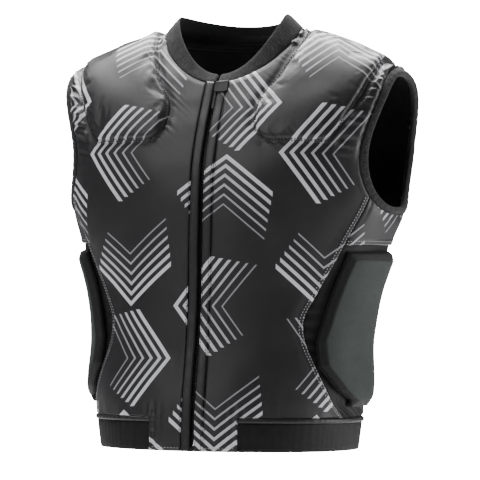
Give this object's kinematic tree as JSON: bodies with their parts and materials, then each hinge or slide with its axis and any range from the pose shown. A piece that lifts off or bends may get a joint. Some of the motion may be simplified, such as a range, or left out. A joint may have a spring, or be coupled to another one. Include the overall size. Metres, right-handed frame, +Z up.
{
  "type": "rib protector vest",
  "caption": "Sleeveless padded rib protector vest with a front zip, side rib pads, shoulder pads, a low neck band and an elastic waistband.",
  "frame": {"origin": "middle of the line between the two neck ends of the shoulder seams, where the vest sits on the shoulders", "axes": "+Z up, -Y the front with the zip, +X the wearer's left; +Z is the longest extent and +Y the shortest"},
  "size_m": [0.42, 0.2671, 0.5164],
  "materials": {
    "printed_cloth": "padded charcoal jersey with a light grey line print",
    "stretch_cloth": "black stretch jersey with a soft sheen",
    "pad_cloth": "grey-green foam-backed cloth with a fine dotted face",
    "binding_knit": "speckled dark grey ribbed binding",
    "neck_knit": "soft dark grey ribbed neck band",
    "facing_cloth": "plain charcoal cloth strip",
    "elastic": "black elastic waistband knit",
    "lining": "black mesh lining",
    "zip_tape": "black woven tape",
    "zip_plastic": "black moulded coil and slider"
  },
  "bodies": {
    "root": {"front_panel_left": "printed_cloth", "underarm_gusset_left": "printed_cloth", "side_panel_left": "stretch_cloth", "rib_pad_left": "pad_cloth", "shoulder_pad_left": "printed_cloth", "armhole_binding_left": "binding_knit", "zip_facing_left": "facing_cloth", "zip_tape_left": "zip_tape", "lining_front_left": "lining", "lining_side_left": "lining", "front_panel_right": "printed_cloth", "underarm_gusset_right": "printed_cloth", "side_panel_right": "stretch_cloth", "rib_pad_right": "pad_cloth", "shoulder_pad_right": "printed_cloth", "armhole_binding_right": "binding_knit", "zip_facing_right": "facing_cloth", "zip_tape_right": "zip_tape", "lining_front_right": "lining", "lining_side_right": "lining", "back_panel": "printed_cloth", "lining_back": "lining", "neck_band": "neck_knit", "waistband": "elastic", "hem_piping": "facing_cloth", "zip_chain": "zip_plastic", "zip_slider": "zip_plastic", "zip_stop": "zip_plastic", "zip_garage": "facing_cloth"}
  },
  "joints": []
}
